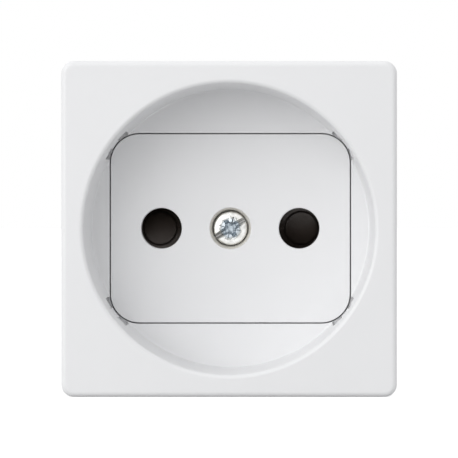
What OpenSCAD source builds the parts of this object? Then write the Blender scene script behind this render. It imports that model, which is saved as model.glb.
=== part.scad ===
// Two-pole wall socket module of the 45 mm size.
// A square plate with a round plug recess, a pin face held in the recess floor by one screw,
// a turning safety shutter behind the pin holes, and a base with contacts and screw terminals.
// Every piece is drawn lying on its back: x to the right, y up, z towards the front, and z = 0
// at the plate's rear rim. stand() then turns it upright, so that the plate faces -Y.

/* [Plate] */
// Distance of the plate's edge from the recess wall, at the middle of a side
plate_rim = 3; // [2.8:0.1:4.5]
// Radius of the plate's corners
plate_r = 1.7; // [1.3:0.1:2.6]
// Rounding of the plate's front edges
edge_r = 0.95; // [0.4:0.05:1.2]
// Height of the plate from its rear rim to its front face
plate_h = 8.5; // [8:0.1:10]
// Wall of the plate's skirt
skirt_t = 1.8; // [1.4:0.1:2.1]
// Thickness of the plate's front face
face_t = 1.9; // [1.5:0.1:2.4]
// Thickness of the ribs behind the plate's corners
rib_t = 1.2; // [0.8:0.1:1.6]
// Distance of the ribs' rear edge from the rear rim
rib_rise = 1; // [0.5:0.1:2]

/* [Plug recess] */
// Depth of the notches that the corners of the pin face's window cut into the recess wall
notch_depth = 0.07; // [0:0.01:0.3]
// Amount by which the recess wall narrows towards the floor
recess_draft = 0.3; // [0.1:0.05:0.5]
// Rounding of the recess lip
lip_r = 0.62; // [0.3:0.02:0.8]
// Depth of the recess from the front face to its floor
recess_depth = 12.5; // [11.5:0.1:14]
// Wall of the cup around the recess
cup_t = 1.5; // [1.4:0.1:1.8]
// Thickness of the recess floor above and below the window
floor_t = 2; // [1.6:0.1:2.3]

/* [Pin face] */
// Room beside the shutter's pads
side_room = 1.4; // [1:0.05:1.8]
// Room above and below the open shutter
swing_room = 0.24; // [0.2:0.02:0.8]
// Radius of the pin face's corners
pin_face_r = 3.9; // [3.2:0.1:5]
// Thickness of the pin face
pin_face_t = 2.2; // [1.9:0.1:2.6]
// Gap between the pin face and its window
pin_face_gap = 0.2; // [0.1:0.05:0.25]
// Width of the ledge that carries the pin face
ledge_w = 1.3; // [1.1:0.1:1.6]
// Thickness of the ledge that carries the pin face
ledge_t = 1.4; // [1.2:0.1:1.8]
// Wall of the frame around the window
frame_t = 1.5; // [1.2:0.1:1.8]
// Wall of the rim that centres the pin face in the ledge
rim_t = 1; // [0.8:0.1:1.1]
// Distance between the two pin holes
pin_pitch = 19; // [18.8:0.1:19.2]
// Diameter of the plug's pins
pin_d = 4.8; // [4.4:0.1:5]
// Clearance around a plug pin in its hole
pin_clearance = 0.4; // [0.2:0.05:0.45]
// Bevel of the pin holes and of the screw well
mouth_bevel = 0.15; // [0.1:0.05:0.3]

/* [Centre screw] */
// Diameter of the screw's thread
screw_d = 2.5; // [2.2:0.1:2.8]
// Length of the screw under its head
screw_l = 10; // [9:0.5:11]
// Diameter of the screw's head
head_d = 4.65; // [4.3:0.05:5]
// Height of the head's straight side
head_side_h = 1.1; // [0.9:0.1:1.3]
// Height of the head's dome
head_dome_h = 0.7; // [0.5:0.05:0.9]
// Width of the screwdriver slot
slot_w = 0.72; // [0.5:0.02:0.9]
// Depth of the screwdriver slot below the top of the dome
slot_depth = 1; // [0.8:0.05:1.1]
// Turn of the slot from the horizontal, in degrees
slot_turn = 31; // [0:1:90]
// Length of the arms of the cross in the head
cross_l = 3; // [2.6:0.1:3.4]
// Distance of the dome below the pin face
head_sink = 1.2; // [0.8:0.1:1.6]
// Gap around the head at the mouth of its well
well_gap = 0.55; // [0.3:0.05:0.65]
// Gap around the head at the foot of its well
well_foot_gap = 0.15; // [0.1:0.05:0.3]
// Clearance around the screw's thread
thread_gap = 0.2; // [0.15:0.05:0.3]
// Wall of the boss around the screw well
boss_t = 1.02; // [0.9:0.02:1.2]

/* [Shutter] */
// Running clearance of the shutter on its boss
shutter_fit = 0.08; // [0.05:0.01:0.1]
// Play of the shutter along its axis
shutter_play = 0.2; // [0.15:0.05:0.3]
// Wall of the shutter's hub
hub_t = 1.2; // [1:0.1:1.3]
// Height of the shutter's hub
hub_h = 3.5; // [3.4:0.1:3.8]
// Reach of a shutter pad past the edge of its pin hole
pad_lap = 0.45; // [0.3:0.05:0.5]
// Wall of the shutter's pads
pad_t = 1; // [0.8:0.1:1.2]
// Fall of a pad's ramp from its high side to its low side
ramp_fall = 3.1; // [2.8:0.1:3.2]
// Thickness of the arms between hub and pads
arm_t = 1.8; // [1.5:0.1:1.9]
// Turn of the open shutter, in degrees
shutter_open = 40; // [37:1:41]
// Thickness of the washer that holds the shutter on its boss
washer_t = 0.3; // [0.2:0.05:0.4]
// Width of the washer's ring
washer_w = 1.1; // [0.8:0.1:1.2]
// Length of the boss behind the washer
boss_past = 0.5; // [0.4:0.1:0.8]
// Diameter of the return spring's wire
wire_d = 0.35; // [0.25:0.05:0.4]
// Pitch of the return spring's coils
coil_pitch = 0.42; // [0.4:0.01:0.45]
// Gap between the return spring and what it lies against
spring_gap = 0.05; // [0.03:0.01:0.1]

/* [Contacts] */
// Thickness of the contact cover
contact_cover_t = 1.4; // [1.2:0.1:1.8]
// Inner radius of a contact sleeve
sleeve_r = 2.3; // [2.2:0.05:2.4]
// Thickness of the contact's sheet
sheet_t = 0.6; // [0.5:0.05:0.7]
// Length of a contact sleeve
sleeve_l = 12; // [10.5:0.5:12.5]
// Width of the slots between the leaves of a sleeve
leaf_slot = 0.9; // [0.6:0.1:1.2]
// Height of the band that grips a sleeve
grip_h = 2.5; // [2:0.1:2.8]
// Gap between a contact sleeve and its terminal tab
tab_gap = 1; // [0.9:0.1:1.3]
// Thickness of the terminal tab
tab_t = 0.8; // [0.7:0.05:1]
// Width of the terminal tab
tab_w = 11; // [10.6:0.1:11.2]
// Width of the web between a sleeve and its tab
web_w = 5; // [4:0.1:5.6]
// Room for the wires between tab and clamp plate
wire_room = 2.7; // [2.5:0.1:2.8]
// Thickness of a clamp plate
clamp_t = 1.1; // [0.9:0.1:1.2]
// Height of a clamp plate
clamp_h = 8.8; // [8:0.1:9.4]
// Thread diameter of a terminal screw
terminal_d = 3.5; // [3:0.1:3.6]
// Head diameter of a terminal screw
terminal_head_d = 6; // [5.5:0.1:6.2]
// Head height of a terminal screw
terminal_head_h = 1.9; // [1.6:0.1:2]
// Distance of the terminal screws behind the contact cover
terminal_drop = 6.3; // [6:0.1:6.6]

/* [Base] */
// Height of the base
base_h = 36.8; // [36:0.1:37.2]
// Radius of the base's upright edges
base_r = 2; // [1.6:0.1:3]
// Rounding of the base's rear edges
base_edge_r = 1; // [0.5:0.1:1.2]
// Wall of the base
base_wall = 1.6; // [1.4:0.1:1.8]
// Distance of the terminal screws' heads inside the base's sides
head_inset = 0.3; // [0.1:0.1:0.6]
// Thickness of the base's rear wall
back_t = 2; // [1.6:0.1:2.6]
// Diameter of a wire entry
entry_d = 3.2; // [2.8:0.1:3.4]
// Distance between the two wire entries of a terminal
entry_pitch = 7.8; // [7.4:0.1:8]
// Diameter of the screwdriver holes in the base's sides
driver_hole_d = 6.8; // [6.6:0.1:7.2]
// Thickness of the support frame that the hooks grip
support_t = 2; // [1.5:0.1:2.5]
// Reach of the hooks over the support frame
hook_reach = 1.2; // [1:0.1:1.3]
// Thickness of the snap tongues
tongue_t = 1.2; // [1:0.1:1.3]
// Width of the snap tongues
tongue_w = 5; // [4:0.1:5.4]
// Distance between the middles of two snap tongues
tongue_pitch = 27; // [26:0.1:28]
// Gap that a snap tongue bends into
tongue_gap = 1.2; // [1:0.1:1.2]

/* [Hidden] */
$fn = 96;

// Overlap that lets one cut run through a face
past = 1;
// Small gap between pieces that seat against each other sideways
seat_gap = 0.1;

// Heights, from the front backwards
floor_z = plate_h - recess_depth;
flange_z = floor_z - pin_face_t;
ledge_z = flange_z - ledge_t;
well_z = floor_z - head_sink - head_dome_h - head_side_h;
shutter_z = flange_z - shutter_play;
hub_end_z = shutter_z - hub_h;
washer_z = hub_end_z - seat_gap;
boss_end_z = washer_z - washer_t - boss_past;
pad_end_z = boss_end_z + 2 * shutter_play;
contact_z = boss_end_z - contact_cover_t;
sleeve_z = contact_z - shutter_play;
web_z = sleeve_z - sleeve_l;
chamber_z = web_z - tab_t;
back_z = chamber_z - back_t;

// Sizes that follow from others are rounded to a tenth
function tenth(size) = round(10 * size) / 10;

// Pin holes, pads, and the room that the open shutter takes
pin_x = pin_pitch / 2;
pin_hole_r = pin_d / 2 + pin_clearance;
pad_reach = pin_hole_r + pad_lap;
pad_r = pin_x + pad_reach;
swing_y = pad_r * sin(shutter_open + asin(pad_reach / pad_r));

// Pin face, window, recess and plate, from the shutter outwards
rim_inner_w = tenth(2 * (pad_r + side_room));
rim_inner_h = tenth(2 * (swing_y + swing_room));
rim_w = rim_inner_w + 2 * rim_t;
rim_h = rim_inner_h + 2 * rim_t;
ledge_hole_w = rim_w + 2 * pin_face_gap;
ledge_hole_h = rim_h + 2 * pin_face_gap;
window_w = ledge_hole_w + 2 * ledge_w;
window_h = ledge_hole_h + 2 * ledge_w;
pin_face_w = window_w - 2 * pin_face_gap;
pin_face_h = window_h - 2 * pin_face_gap;
window_r = pin_face_r + pin_face_gap;
ledge_r = window_r - ledge_w;
rim_r = ledge_r - pin_face_gap;
window_corner_r = norm([window_w / 2 - window_r, window_h / 2 - window_r]) + window_r;
recess_r = tenth(window_corner_r - notch_depth);
floor_r = recess_r - recess_draft;
cup_r = recess_r + cup_t;
plate_w = 2 * (recess_r + plate_rim);
skirt_r = 0.4;

// Screw, boss and bush
well_r = head_d / 2 + well_gap;
well_foot_r = head_d / 2 + well_foot_gap;
boss_r = well_r + boss_t;
screw_hole_r = screw_d / 2 + thread_gap;
screw_end_z = well_z - screw_l;
tip_bevel = 0.3;
cross_depth = 1.35;
bush_r = 2.1;
bush_l = 5;
bush_groove_l = 1;
bush_groove = 0.3;
bush_bore_r = screw_d / 2 + spring_gap;

// Shutter and return spring
hub_bore_r = boss_r + shutter_fit;
hub_r = hub_bore_r + hub_t;
pad_drop = 0.2;
pad_high_z = shutter_z - pad_drop;
pad_lead = 0.55;
pad_roof_t = 1.3;
arm_w = 4.4;
washer_notch = 0.8;
coil_r = hub_r + wire_d;
coil_z = shutter_z - arm_t - wire_d / 2 - 2 * spring_gap;
peg_r = 0.8;
peg_ring_r = 8;
stop_angle = asin((pad_reach + peg_r + spring_gap) / peg_ring_r);
fixed_leg_x = peg_r + wire_d / 2 + spring_gap;
fixed_leg_end = peg_ring_r + 1.5 * peg_r;
pushing_leg_y = pad_reach + wire_d / 2 + spring_gap;
pushing_leg_end = pin_x;
fixed_angle = acos(fixed_leg_x / coil_r);
pushing_angle = asin(pushing_leg_y / coil_r);
coil_count = 3;
coil_turn = coil_count * 360 + pushing_angle - fixed_angle;
coil_steps = 66;
wire_sides = 8;

// Contacts and terminals, from the pin outwards
sleeve_outer_r = sleeve_r + sheet_t;
throat_in = 0.15;
throat_l = 1.8;
flare_out = 0.5;
flare_l = 1.8;
leaf_root = 2.4;
grip_rise = 3;
grip_r = sleeve_outer_r + spring_gap;
grip_t = 0.3;
grip_slot = 2;
tab_x = pin_x + sleeve_outer_r + tab_gap;
wire_x = tab_x + tab_t + wire_room / 2;
clamp_x = tab_x + tab_t + wire_room + clamp_t;
collar_l = 0.7;
collar_t = 0.7;
terminal_z = contact_z - terminal_drop;
terminal_hole_r = terminal_d / 2 + spring_gap;
terminal_dome_h = 0.4;
terminal_cross_l = 3.6;
terminal_turn = 20;

// Base and its pockets
base_w = 2 * (clamp_x + terminal_head_h + head_inset);
cavity_w = base_w - 2 * base_wall;
cavity_h = rim_inner_h - 2 * seat_gap;
cavity_r = 1;
cavity_wall = 2.2;
chamber_room = 0.75;
pocket_room = 0.5;
chamber_r = sleeve_outer_r + chamber_room;
chamber_slot = web_w + 2 * pocket_room;
pocket_h = tab_w + 2 * pocket_room;
funnel = 0.6;
root_drop = 2;
root_z = contact_z - root_drop;
root_t = 1;
root_gusset = 1.4;
hook_land = 0.9;
hook_ramp = 3.4;

// Basic forms

module stand() rotate([90, 0, 0]) children();

module rounded_square(w, h, r) {
    square([w - 2 * r, h], center = true);
    square([w, h - 2 * r], center = true);
    for (x = [-1, 1], y = [-1, 1])
        translate([x * (w / 2 - r), y * (h / 2 - r)]) circle(r);
}

module rounded_block(w, h, r, low, high)
    translate([0, 0, low]) linear_extrude(high - low) rounded_square(w, h, r);

module quarter_disc(r) intersection() {
    circle(r);
    square(r);
}

// Block from z = 0 to t with upright edges of radius r and its far edges rounded by f
module soft_block(w, h, r, t, f) {
    rounded_block(w, h, r, 0, t - f);
    rounded_block(w - 2 * f, h - 2 * f, r - f, 0, t);
    for (i = [0:3]) {
        across = i % 2 == 0 ? w : h;
        along = i % 2 == 0 ? h : w;
        rotate([0, 0, 90 * i]) {
            translate([across / 2 - f, along / 2 - r, t - f]) rotate([90, 0, 0])
                linear_extrude(along - 2 * r) quarter_disc(f);
            translate([across / 2 - r, along / 2 - r, t - f])
                rotate_extrude(angle = 90) translate([r - f, 0]) quarter_disc(f);
        }
    }
}

// Cut for a round hole from low to high, with a bevel at its upper mouth
module bevelled_hole(r, low, high, bevel) {
    translate([0, 0, low]) cylinder(r = r, h = high - low + past);
    translate([0, 0, high - bevel]) cylinder(r1 = r, r2 = r + bevel + past, h = bevel + past);
}

// Front cover

module recess_cut() rotate_extrude() {
    polygon([
        [0, floor_z], [floor_r, floor_z], [recess_r, plate_h - lip_r],
        [recess_r, plate_h + past], [0, plate_h + past],
    ]);
    difference() {
        translate([floor_r, plate_h - lip_r]) square([recess_r - floor_r + lip_r, lip_r + past]);
        translate([recess_r + lip_r, plate_h - lip_r]) circle(lip_r);
    }
}

module corner_ribs() {
    start = cup_r - cup_t / 2;
    end = (plate_w / 2 - skirt_t) * sqrt(2) + skirt_t / 4;
    for (i = [0:3])
        rotate([0, 0, 45 + 90 * i]) translate([start, -rib_t / 2, rib_rise])
            cube([end - start, rib_t, plate_h - face_t / 2 - rib_rise]);
}

// Shallow pockets that keep the floor's wall even above and below the window
module floor_pockets() {
    pocket_y = window_h / 2 + frame_t;
    for (side = [0, 180])
        rotate([0, 0, side]) translate([0, 0, ledge_z - past])
            linear_extrude(floor_z - floor_t - ledge_z + past) intersection() {
                circle(floor_r);
                translate([-floor_r, pocket_y]) square([2 * floor_r, floor_r]);
            }
}

module front_cover() color([0.93, 0.93, 0.94]) stand() difference() {
    union() {
        difference() {
            soft_block(plate_w, plate_w, plate_r, plate_h, edge_r);
            rounded_block(plate_w - 2 * skirt_t, plate_w - 2 * skirt_t, skirt_r, -past, plate_h - face_t);
        }
        translate([0, 0, ledge_z]) cylinder(r = cup_r, h = plate_h - face_t / 2 - ledge_z);
        corner_ribs();
    }
    recess_cut();
    rounded_block(window_w, window_h, window_r, flange_z, plate_h + past);
    rounded_block(ledge_hole_w, ledge_hole_h, ledge_r, ledge_z - past, floor_z);
    floor_pockets();
}

// Pin face with its screw well and the boss that the shutter turns on

// Pegs for the spring's fixed leg and for the closed and the open stop of the shutter
module pegs()
    for (angle = [90, -stop_angle, 180 + stop_angle + shutter_open])
        rotate([0, 0, angle]) translate([peg_ring_r, 0, coil_z - wire_d])
            cylinder(r = peg_r, h = flange_z - coil_z + wire_d + past);

// The screw's well narrows towards the seat of the head
module well_cut() rotate_extrude() polygon([
    [0, well_z], [well_foot_r, well_z], [well_r, floor_z - mouth_bevel],
    [well_r + mouth_bevel + past, floor_z + past], [0, floor_z + past],
]);

module pin_face() color([0.92, 0.92, 0.93]) stand() difference() {
    union() {
        rounded_block(pin_face_w, pin_face_h, pin_face_r, flange_z, floor_z);
        difference() {
            rounded_block(rim_w, rim_h, rim_r, ledge_z + seat_gap, flange_z + past);
            rounded_block(rim_inner_w, rim_inner_h, rim_r - rim_t, ledge_z - past, flange_z);
        }
        translate([0, 0, boss_end_z]) cylinder(r = boss_r, h = flange_z - boss_end_z + past);
        pegs();
    }
    for (x = [-pin_x, pin_x])
        translate([x, 0, 0]) bevelled_hole(pin_hole_r, flange_z - past, floor_z, mouth_bevel);
    well_cut();
    translate([0, 0, boss_end_z - past]) cylinder(r = screw_hole_r, h = well_z - boss_end_z + 2 * past);
}

// Screws

// Domed head with its underside at z = 0, cut for a flat or a cross-shaped screwdriver
module driven_head(d, side_h, dome_h, cross) {
    dome_r = (d * d / 4 + dome_h * dome_h) / (2 * dome_h);
    top = side_h + dome_h;
    difference() {
        rotate_extrude() intersection() {
            translate([0, top - dome_r]) circle(dome_r);
            square([d / 2, top]);
        }
        translate([-d, -slot_w / 2, top - slot_depth]) cube([2 * d, slot_w, slot_depth + past]);
        for (turn = [0, 90])
            rotate([0, 0, turn]) translate([-cross / 2, -slot_w / 2, top - cross_depth])
                cube([cross, slot_w, 2 * cross_depth]);
    }
}

module shank(d, l) rotate_extrude()
    polygon([[0, -l], [d / 2 - tip_bevel, -l], [d / 2, -l + tip_bevel], [d / 2, 0], [0, 0]]);

module centre_screw() color([0.78, 0.8, 0.83]) stand() translate([0, 0, well_z]) {
    rotate([0, 0, slot_turn]) driven_head(head_d, head_side_h, head_dome_h, cross_l);
    shank(screw_d, screw_l);
}

module threaded_bush() color([0.8, 0.66, 0.35]) stand() translate([0, 0, contact_z - bush_l])
    difference() {
        cylinder(r = bush_r, h = bush_l);
        translate([0, 0, -past]) cylinder(r = bush_bore_r, h = bush_l + 2 * past);
        translate([0, 0, (bush_l - bush_groove_l) / 2]) difference() {
            cylinder(r = bush_r + past, h = bush_groove_l);
            cylinder(r = bush_r - bush_groove, h = bush_groove_l);
        }
    }

module terminal_screw() translate([clamp_x, 0, terminal_z]) rotate([0, 90, 0]) {
    rotate([0, 0, terminal_turn])
        driven_head(terminal_head_d, terminal_head_h - terminal_dome_h, terminal_dome_h, terminal_cross_l);
    shank(terminal_d, clamp_x - tab_x + collar_l);
}

module terminal_screw_right() color([0.75, 0.76, 0.78]) stand() terminal_screw();

module terminal_screw_left() color([0.75, 0.76, 0.78]) stand() rotate([0, 0, 180]) terminal_screw();

// Shutter: a hub with two ramped pads that a plug's pins push aside together

module pad_section() polygon([
    [pad_reach, pad_high_z],
    [pad_reach - pad_lead, pad_high_z],
    [-pad_reach + pad_lead, pad_high_z - ramp_fall],
    [-pad_reach, pad_high_z - ramp_fall],
    [-pad_reach, pad_end_z],
    [-pad_reach + pad_t, pad_end_z],
    [pad_reach - pad_t, pad_high_z - pad_roof_t],
    [pad_reach - pad_t, pad_end_z],
    [pad_reach, pad_end_z],
]);

module pad() intersection() {
    rotate([90, 0, 90]) linear_extrude(pad_r + pad_reach) pad_section();
    translate([0, 0, pad_end_z - past]) linear_extrude(shutter_z - pad_end_z + 2 * past) difference() {
        circle(pad_r);
        circle(pin_x - pad_reach);
    }
}

module shutter() color([0.16, 0.14, 0.12]) stand() difference() {
    union() {
        translate([0, 0, hub_end_z]) cylinder(r = hub_r, h = hub_h);
        for (side = [0, 180]) rotate([0, 0, side]) {
            pad();
            translate([0, -arm_w / 2, shutter_z - arm_t])
                cube([pin_x - pin_hole_r - seat_gap / 2, arm_w, arm_t - pad_drop]);
        }
    }
    translate([0, 0, hub_end_z - past]) cylinder(r = hub_bore_r, h = hub_h + 2 * past);
}

module retaining_washer() color([0.7, 0.71, 0.73]) stand() translate([0, 0, washer_z - washer_t])
    linear_extrude(washer_t) difference() {
        circle(boss_r + washer_w);
        circle(boss_r);
        for (i = [0:5]) rotate([0, 0, 60 * i]) translate([0, -washer_notch / 2])
            square([boss_r + washer_w / 2, washer_notch]);
    }

// Return spring: one wire from the peg, round the hub and out along the shutter's right pad

function coil_point(i) =
    let (a = fixed_angle + coil_turn * i / coil_steps)
    [coil_r * cos(a), coil_r * sin(a), coil_z - coil_pitch * coil_turn / 360 * i / coil_steps];

function unit(v) = v / norm(v);

function wire_ring(path, i) =
    let (
        along = unit(path[min(i + 1, len(path) - 1)] - path[max(i - 1, 0)]),
        side = unit(cross([0, 0, 1], along)),
        up = cross(along, side)
    )
    [for (k = [0:wire_sides - 1])
        path[i] + wire_d / 2 * (cos(360 * k / wire_sides) * side + sin(360 * k / wire_sides) * up)];

module wire(path) {
    last = len(path) - 1;
    points = [for (i = [0:last]) each wire_ring(path, i)];
    sides = [for (i = [0:last - 1], k = [0:wire_sides - 1])
        let (a = i * wire_sides + k, b = i * wire_sides + (k + 1) % wire_sides)
        [a, a + wire_sides, b + wire_sides, b]];
    start = [for (k = [0:wire_sides - 1]) k];
    end = [for (k = [wire_sides - 1:-1:0]) last * wire_sides + k];
    polyhedron(points, concat([start], sides, [end]));
}

module shutter_spring() color([0.72, 0.73, 0.75]) stand() {
    coil_end_z = coil_point(coil_steps)[2];
    wire(concat(
        [[fixed_leg_x, fixed_leg_end, coil_z]],
        [for (i = [0:coil_steps]) coil_point(i)],
        [[pushing_leg_end, pushing_leg_y, coil_end_z]]
    ));
}

// Contact cover: the inner lid over the contacts, with guide holes for the pins

module contact_cover() color([0.82, 0.82, 0.8]) stand() difference() {
    lid_w = cavity_w - 2 * seat_gap;
    lid_h = cavity_h - 2 * seat_gap;
    rounded_block(lid_w, lid_h, cavity_r - seat_gap, contact_z, boss_end_z);
    for (x = [-pin_x, pin_x])
        translate([x, 0, 0])
            bevelled_hole(pin_hole_r - seat_gap, contact_z - past, boss_end_z, 2 * mouth_bevel);
    translate([0, 0, contact_z - past]) cylinder(r = screw_hole_r, h = contact_cover_t + 2 * past);
}

// Contacts, drawn for the right pole

module sleeve_section() {
    throat = sleeve_r - throat_in;
    throat_top = sleeve_l - flare_l;
    bend = throat_top - throat_l;
    mouth = sleeve_r + flare_out;
    polygon([
        [sleeve_r, 0], [sleeve_outer_r, 0], [sleeve_outer_r, bend],
        [throat + sheet_t, throat_top], [mouth + sheet_t, sleeve_l], [mouth, sleeve_l],
        [throat, throat_top], [sleeve_r, bend],
    ]);
}

module contact() {
    translate([pin_x, 0, web_z]) difference() {
        rotate_extrude() sleeve_section();
        for (turn = [0, 90])
            rotate([0, 0, turn]) translate([-2 * sleeve_r, -leaf_slot / 2, leaf_root])
                cube([4 * sleeve_r, leaf_slot, sleeve_l]);
    }
    translate([pin_x, 0, chamber_z]) cylinder(r = sleeve_outer_r, h = tab_t);
    translate([pin_x, -web_w / 2, chamber_z]) cube([tab_x + tab_t - pin_x, web_w, tab_t]);
    difference() {
        union() {
            translate([tab_x, -tab_w / 2, chamber_z])
                cube([tab_t, tab_w, contact_z - seat_gap - chamber_z]);
            translate([tab_x - collar_l, 0, terminal_z]) rotate([0, 90, 0])
                cylinder(r = terminal_hole_r + collar_t, h = collar_l + tab_t / 2);
        }
        translate([tab_x - past, 0, terminal_z]) rotate([0, 90, 0])
            cylinder(r = terminal_hole_r, h = tab_t + 2 * past);
    }
}

module grip_band() translate([pin_x, 0, web_z + leaf_root + grip_rise]) difference() {
    cylinder(r = grip_r + grip_t, h = grip_h);
    translate([0, 0, -past]) cylinder(r = grip_r, h = grip_h + 2 * past);
    translate([0, -grip_slot / 2, -past]) cube([2 * grip_r, grip_slot, grip_h + 2 * past]);
}

module clamp_plate() difference() {
    translate([clamp_x - clamp_t, -tab_w / 2 + seat_gap, terminal_z - clamp_h / 2])
        cube([clamp_t, tab_w - 2 * seat_gap, clamp_h]);
    translate([clamp_x - clamp_t - past, 0, terminal_z]) rotate([0, 90, 0])
        cylinder(r = terminal_d / 2 + thread_gap, h = clamp_t + 2 * past);
    for (y = [-entry_pitch / 2, entry_pitch / 2])
        translate([wire_x, y, terminal_z - clamp_h]) cylinder(r = entry_d / 2, h = 2 * clamp_h);
}

module contact_right() color([0.78, 0.6, 0.36]) stand() contact();

module contact_left() color([0.78, 0.6, 0.36]) stand() rotate([0, 0, 180]) contact();

module grip_band_right() color([0.7, 0.71, 0.73]) stand() grip_band();

module grip_band_left() color([0.7, 0.71, 0.73]) stand() rotate([0, 0, 180]) grip_band();

module clamp_plate_right() color([0.75, 0.76, 0.78]) stand() clamp_plate();

module clamp_plate_left() color([0.75, 0.76, 0.78]) stand() rotate([0, 0, 180]) clamp_plate();

// Base: the housing behind the plate

module snap_tongue() {
    inner_y = base_h / 2 + tongue_gap;
    outer_y = inner_y + tongue_t;
    hook_y = outer_y + hook_reach;
    hook_z = -support_t - seat_gap;
    wall_y = base_h / 2 - base_wall / 2;
    foot_z = root_z - root_t;
    land_z = hook_z - hook_land;
    translate([-tongue_w / 2, 0, 0]) rotate([90, 0, 90]) linear_extrude(tongue_w) polygon([
        [wall_y, foot_z - root_gusset], [outer_y, foot_z],
        [outer_y, land_z - hook_ramp], [hook_y, land_z], [hook_y, hook_z],
        [inner_y, hook_z], [inner_y, root_z], [wall_y, root_z],
    ]);
}

// Chamber, terminal pocket, wire entries and screwdriver hole of the right pole
module pole_cut() {
    pocket_x = tab_x - seat_gap;
    translate([pin_x, 0, chamber_z]) cylinder(r = chamber_r, h = contact_z - chamber_z + past);
    translate([pin_x, -chamber_slot / 2, chamber_z])
        cube([pocket_x - pin_x + past, chamber_slot, contact_z - chamber_z + past]);
    translate([pocket_x, -pocket_h / 2, chamber_z])
        cube([base_w / 2 - base_wall - pocket_x, pocket_h, contact_z - chamber_z + past]);
    translate([base_w / 2 - base_wall - past, 0, terminal_z]) rotate([0, 90, 0])
        cylinder(d = driver_hole_d, h = base_wall + 2 * past);
    for (y = [-entry_pitch / 2, entry_pitch / 2]) translate([wire_x, y, back_z]) {
        translate([0, 0, -past]) cylinder(d = entry_d, h = back_t + 2 * past);
        translate([0, 0, -past])
            cylinder(r1 = entry_d / 2 + funnel + past, r2 = entry_d / 2, h = funnel + past);
    }
}

// Pockets that keep the base's walls even, above and below the terminals
module cored_pockets() {
    low_y = cavity_h / 2 + cavity_wall;
    high_y = base_h / 2 - base_wall;
    cell_w = (cavity_w - 2 * base_wall) / 3;
    for (side = [0, 180], i = [-1:1])
        rotate([0, 0, side]) translate([i * (cell_w + base_wall) - cell_w / 2, low_y, chamber_z])
            cube([cell_w, high_y - low_y, ledge_z - chamber_z + past]);
}

module base() color([0.85, 0.85, 0.84]) stand() {
    difference() {
        translate([0, 0, ledge_z]) mirror([0, 0, 1])
            soft_block(base_w, base_h, base_r, ledge_z - back_z, base_edge_r);
        rounded_block(cavity_w, cavity_h, cavity_r, contact_z, ledge_z + past);
        for (side = [0, 180]) rotate([0, 0, side]) pole_cut();
        translate([0, 0, contact_z - bush_l]) cylinder(r = bush_r, h = bush_l + past);
        translate([0, 0, screw_end_z - past]) cylinder(r = screw_hole_r, h = contact_z - screw_end_z);
        cored_pockets();
    }
    for (side = [0, 180], x = [-tongue_pitch / 2, tongue_pitch / 2])
        rotate([0, 0, side]) translate([x, 0, 0]) snap_tongue();
}

front_cover();
pin_face();
centre_screw();
shutter();
shutter_spring();
retaining_washer();
contact_cover();
base();
threaded_bush();
contact_left();
contact_right();
grip_band_left();
grip_band_right();
terminal_screw_left();
terminal_screw_right();
clamp_plate_left();
clamp_plate_right();
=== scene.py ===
import logging
import math
from dataclasses import dataclass, replace
from enum import Enum
from typing import ClassVar, Iterable, Sequence

import bmesh
import bpy
from mathutils import Matrix, Vector


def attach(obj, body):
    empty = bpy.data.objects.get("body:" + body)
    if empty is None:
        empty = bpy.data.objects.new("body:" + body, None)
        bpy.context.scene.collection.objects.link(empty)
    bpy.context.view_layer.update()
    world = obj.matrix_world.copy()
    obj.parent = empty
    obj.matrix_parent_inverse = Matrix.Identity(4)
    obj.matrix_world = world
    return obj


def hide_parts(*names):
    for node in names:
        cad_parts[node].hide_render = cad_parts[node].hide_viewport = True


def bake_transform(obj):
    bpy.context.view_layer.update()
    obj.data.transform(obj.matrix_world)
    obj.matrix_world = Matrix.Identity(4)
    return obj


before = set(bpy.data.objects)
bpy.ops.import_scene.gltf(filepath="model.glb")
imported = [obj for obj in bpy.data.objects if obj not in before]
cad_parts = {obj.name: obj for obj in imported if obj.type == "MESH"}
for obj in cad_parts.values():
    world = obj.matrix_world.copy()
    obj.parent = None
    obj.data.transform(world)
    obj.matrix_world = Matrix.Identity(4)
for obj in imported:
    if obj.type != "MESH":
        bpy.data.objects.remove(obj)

log = logging.getLogger("wall_socket")

MM = 0.001
# A piece is drawn lying on its back, x right, y up, z to the front, in millimetres.
UPRIGHT = Matrix.Rotation(math.radians(90), 4, "X") @ Matrix.Scale(MM, 4)
TURN = 2 * math.pi

Node = bpy.types.Node
Pair = tuple[float, float]
Triple = tuple[float, float, float]
Colour = Triple
# Points (radius, height) of a turned shape, in order.
Profile = Sequence[Pair]
# A node of a shader tree with the name of one of its outputs.
Out = tuple[Node, str]

WHITE = (1.0, 1.0, 1.0, 1.0)
# How far a cut reaches past the face that it opens.
OVER = 1.0
# Points nearer than this are one, in new shapes and in copies of solids.
SAME_POINT, SAME_COPIED_POINT = 1e-5, 1e-4
# Faces of a copy that meet at a smaller angle than this become one.
LEVEL_ANGLE = math.radians(0.4)


class Body(Enum):
    """The moving units that a piece can ride on."""

    SOCKET = "socket"
    SHUTTER = "shutter_unit"


class Slot(Enum):
    """The record's material slots."""

    WHITE_PLASTIC = "white_plastic"
    GREY_PLASTIC = "grey_plastic"
    SHUTTER_PLASTIC = "shutter_plastic"
    ZINC_STEEL = "zinc_steel"
    SPRING_STEEL = "spring_steel"
    CONTACT_BRONZE = "contact_bronze"
    BUSH_BRASS = "bush_brass"


class Side(Enum):
    """Side of the socket's middle, as the turn in degrees that takes the right pole there."""

    RIGHT = 0.0
    LEFT = 180.0


@dataclass(frozen=True)
class Levels:
    """Heights of the main faces in millimetres, z = 0 at the plate's rear rim."""

    face: float = 8.5
    floor: float = -4.0
    flange: float = -6.2
    ledge: float = -7.6
    well: float = -7.0
    boss_end: float = -10.8
    back: float = -27.2


LEVELS = Levels()


# Shader trees


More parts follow.
